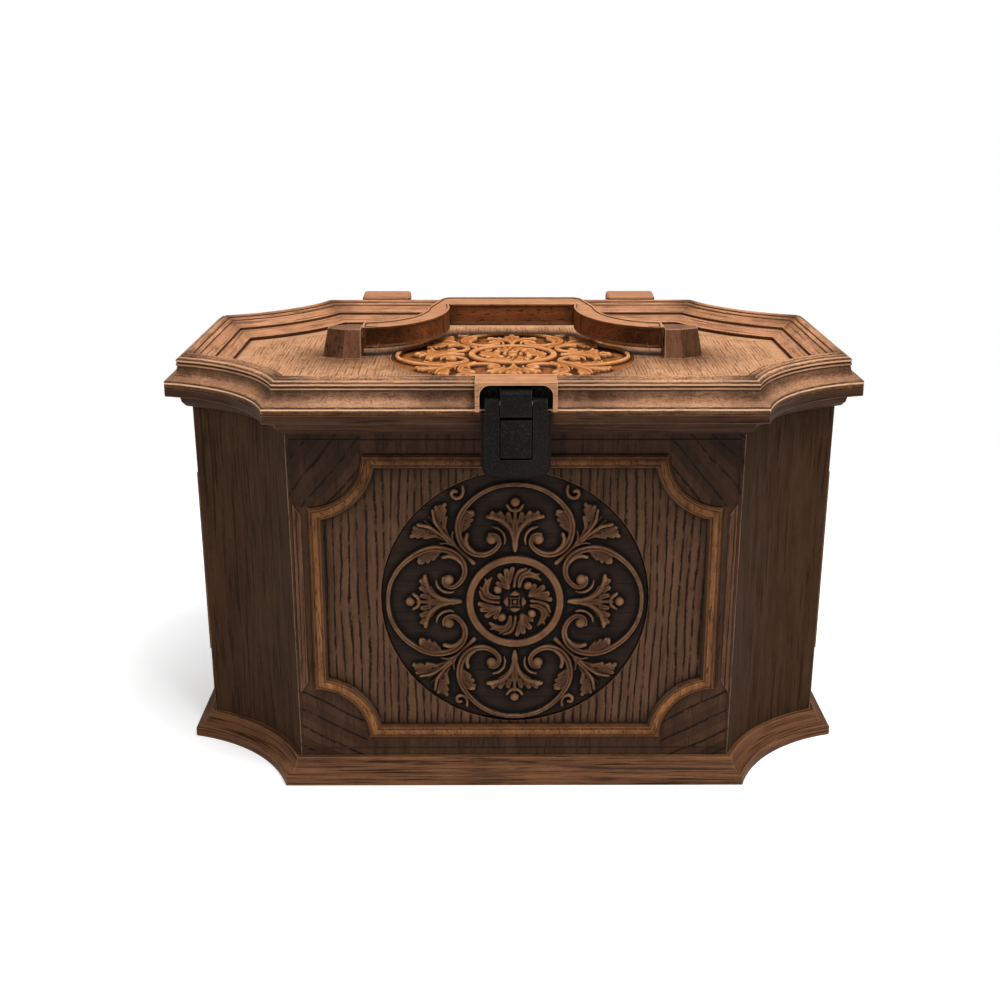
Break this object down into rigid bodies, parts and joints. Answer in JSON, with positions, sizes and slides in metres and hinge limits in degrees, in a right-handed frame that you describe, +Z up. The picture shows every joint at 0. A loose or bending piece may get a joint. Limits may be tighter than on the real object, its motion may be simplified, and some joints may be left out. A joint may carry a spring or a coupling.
{
  "type": "sewing chest",
  "caption": "Moulded faux-wood sewing chest with concave corners, carved medallions, dished hinged lid, folding bail handle, push-button latch and lift-out tray.",
  "frame": {"origin": "centre of the base, on the floor", "axes": "+X right across the width, +Y to the back, +Z up; the latch faces -Y"},
  "size_m": [0.356, 0.2598, 0.2211],
  "materials": {
    "dark_wood_plastic": "antiqued wood-grain moulding",
    "tan_wood_plastic": "antiqued wood-grain moulding",
    "tray_plastic": "plain moulded",
    "black_latch": "hammered black",
    "plain_steel": "zinc plated"
  },
  "bodies": {
    "chest": {"body_shell": "dark_wood_plastic", "base_plinth": "dark_wood_plastic", "front_medallion": "dark_wood_plastic", "latch_keeper": "plain_steel", "keeper_screws": "plain_steel", "hinge_base_left": "dark_wood_plastic", "hinge_base_right": "dark_wood_plastic", "hinge_base_screws": "plain_steel", "hinge_pin_left": "plain_steel", "hinge_pin_right": "plain_steel"},
    "tray": {"sewing_tray": "tray_plastic", "tray_divider_long": "tray_plastic", "tray_divider_left": "tray_plastic", "tray_divider_right": "tray_plastic", "spool_pegs": "tray_plastic"},
    "lid": {"lid_shell": "tan_wood_plastic", "lid_medallion": "tan_wood_plastic", "hinge_lug_left": "tan_wood_plastic", "hinge_lug_right": "tan_wood_plastic", "hinge_lug_screws": "plain_steel", "handle_block_left": "tan_wood_plastic", "handle_block_right": "tan_wood_plastic", "handle_block_screws": "plain_steel", "handle_pin_left": "plain_steel", "handle_pin_right": "plain_steel", "latch_hinge_plate": "black_latch", "latch_plate_screws": "plain_steel", "latch_hinge_pin": "plain_steel"},
    "handle": {"carry_handle": "tan_wood_plastic"},
    "flap": {"latch_flap": "black_latch", "latch_guide": "plain_steel", "latch_guide_screws": "plain_steel", "latch_button_spring": "plain_steel"},
    "button": {"latch_button": "black_latch"},
    "bolt": {"latch_bolt": "plain_steel"}
  },
  "joints": [
    {"name": "lid_hinge", "type": "hinge", "parent": "chest", "child": "lid", "pos_m": [0, 0.1257, 0.19615], "axis": [-1, 0, 0], "range_deg": [0, 100]},
    {"name": "handle_pivot", "type": "hinge", "parent": "lid", "child": "handle", "pos_m": [0, 0.003, 0.2105], "axis": [1, 0, 0], "range_deg": [0, 172]},
    {"name": "latch_flap_hinge", "type": "hinge", "parent": "lid", "child": "flap", "pos_m": [0, -0.1261, 0.203], "axis": [-1, 0, 0], "range_deg": [0, 110]},
    {"name": "latch_button_press", "type": "slide", "parent": "flap", "child": "button", "axis": [0, 1, 0], "range_m": [0, 0.0022], "stiffness_N_per_m": 400, "deforming": ["latch_button_spring"]},
    {"name": "latch_bolt_lift", "type": "slide", "parent": "flap", "child": "bolt", "axis": [0, 0, 1], "range_m": [0, 0.0022]},
    {"name": "tray_lift", "type": "slide", "parent": "chest", "child": "tray", "axis": [0, 0, 1], "range_m": [0, 0.014]}
  ],
  "couplings": [
    {"joint": "latch_bolt_lift", "follows": "latch_button_press", "ratio": 1}
  ]
}
